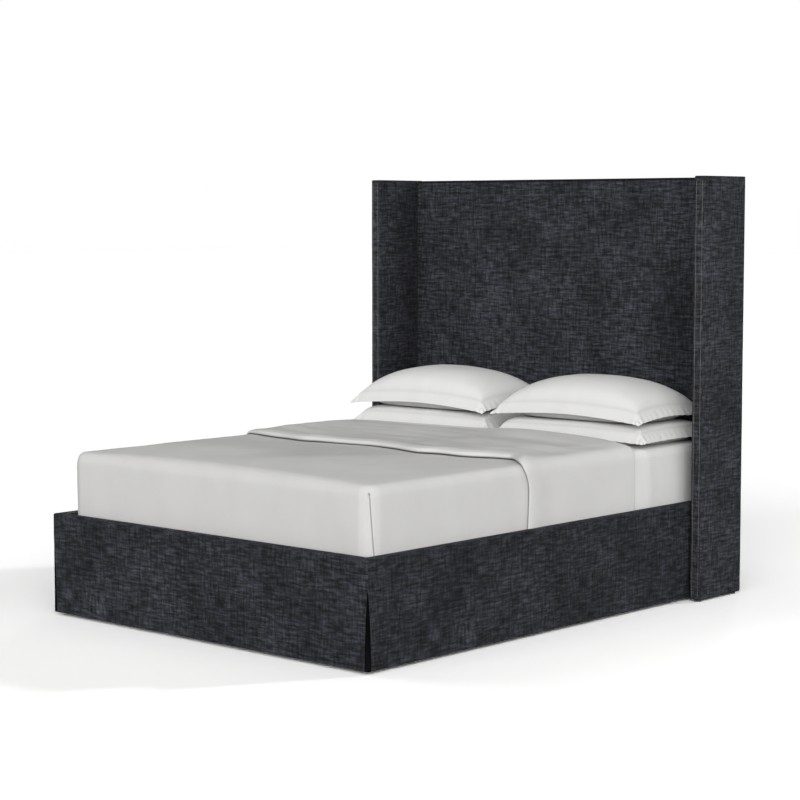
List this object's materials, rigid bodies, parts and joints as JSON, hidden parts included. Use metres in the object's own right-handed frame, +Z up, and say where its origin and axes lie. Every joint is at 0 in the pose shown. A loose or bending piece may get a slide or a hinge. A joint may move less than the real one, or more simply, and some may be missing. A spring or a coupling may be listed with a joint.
{
  "type": "wingback bed",
  "caption": "Upholstered queen bed with tall wingback headboard, floor-length pleated skirt, slatted base, made-up mattress, folded-back sheet and flanged pillows.",
  "frame": {"origin": "on the floor, under the middle of the bed's overall box", "axes": "+Y from the foot to the headboard, +Z up, +X across the bed to the right as seen from the foot"},
  "size_m": [1.7486, 2.138, 1.668],
  "materials": {
    "charcoal_linen": "matte",
    "white_cotton": "matte",
    "dust_cloth": "matte",
    "foam": "matte",
    "timber": "matte",
    "plywood": "matte",
    "steel": "satin",
    "black_steel": "satin",
    "nylon": "matte"
  },
  "bodies": {
    "bedstead": {"headboard_panel": "plywood", "headboard_stiles": "timber", "headboard_crossbars": "timber", "headboard_foam": "foam", "headboard_cover": "charcoal_linen", "headboard_dust_cover": "dust_cloth", "headboard_glides": "nylon", "wing_right_core": "timber", "wing_left_core": "timber", "wing_right_foam": "foam", "wing_left_foam": "foam", "wing_right_cover": "charcoal_linen", "wing_left_cover": "charcoal_linen", "wing_right_glides": "nylon", "wing_left_glides": "nylon", "wing_bolts": "steel", "rail_right_board": "timber", "rail_left_board": "timber", "rail_foot_board": "timber", "rail_right_foam": "foam", "rail_left_foam": "foam", "rail_foot_foam": "foam", "skirt_cover_right": "charcoal_linen", "skirt_cover_left": "charcoal_linen", "skirt_cover_foot": "charcoal_linen", "pleat_insert_right": "charcoal_linen", "pleat_insert_left": "charcoal_linen", "slat_ledgers": "timber", "slats": "timber", "slat_screws": "steel", "centre_beam": "timber", "beam_hangers": "black_steel", "centre_leg_plates": "black_steel", "centre_legs": "timber", "centre_leg_inserts": "steel", "corner_legs": "timber", "corner_leg_glides": "nylon", "corner_leg_bolts": "steel", "rail_angle_plates": "black_steel", "rail_bolts": "steel"},
    "mattress": {"mattress_base_foam": "foam", "mattress_core": "foam", "mattress_comfort_foam": "foam", "fitted_sheet": "white_cotton", "coverlet": "white_cotton", "turndown": "white_cotton"},
    "lower_right_pillow": {"pillow_lower_right": "white_cotton"},
    "lower_left_pillow": {"pillow_lower_left": "white_cotton"},
    "upper_right_pillow": {"pillow_upper_right": "white_cotton"},
    "upper_left_pillow": {"pillow_upper_left": "white_cotton"},
    "front_levelling_foot": {"levelling_foot_front": "nylon"},
    "middle_levelling_foot": {"levelling_foot_middle": "nylon"},
    "rear_levelling_foot": {"levelling_foot_rear": "nylon"}
  },
  "joints": [
    {"name": "mattress_lift", "type": "slide", "parent": "bedstead", "child": "mattress", "axis": [0, 0, 1], "range_m": [0, 1.36]},
    {"name": "lower_right_pillow_lift", "type": "slide", "parent": "mattress", "child": "lower_right_pillow", "axis": [0, 0, 1], "range_m": [0, 1.06]},
    {"name": "lower_left_pillow_lift", "type": "slide", "parent": "mattress", "child": "lower_left_pillow", "axis": [0, 0, 1], "range_m": [0, 1.06]},
    {"name": "upper_right_pillow_lift", "type": "slide", "parent": "lower_right_pillow", "child": "upper_right_pillow", "axis": [0, 0, 1], "range_m": [0, 0.99]},
    {"name": "upper_left_pillow_lift", "type": "slide", "parent": "lower_left_pillow", "child": "upper_left_pillow", "axis": [0, 0, 1], "range_m": [0, 0.99]},
    {"name": "front_foot_thread", "type": "slide", "parent": "bedstead", "child": "front_levelling_foot", "axis": [0, 0, -1], "range_m": [0, 0.02]},
    {"name": "middle_foot_thread", "type": "slide", "parent": "bedstead", "child": "middle_levelling_foot", "axis": [0, 0, -1], "range_m": [0, 0.02]},
    {"name": "rear_foot_thread", "type": "slide", "parent": "bedstead", "child": "rear_levelling_foot", "axis": [0, 0, -1], "range_m": [0, 0.02]}
  ]
}
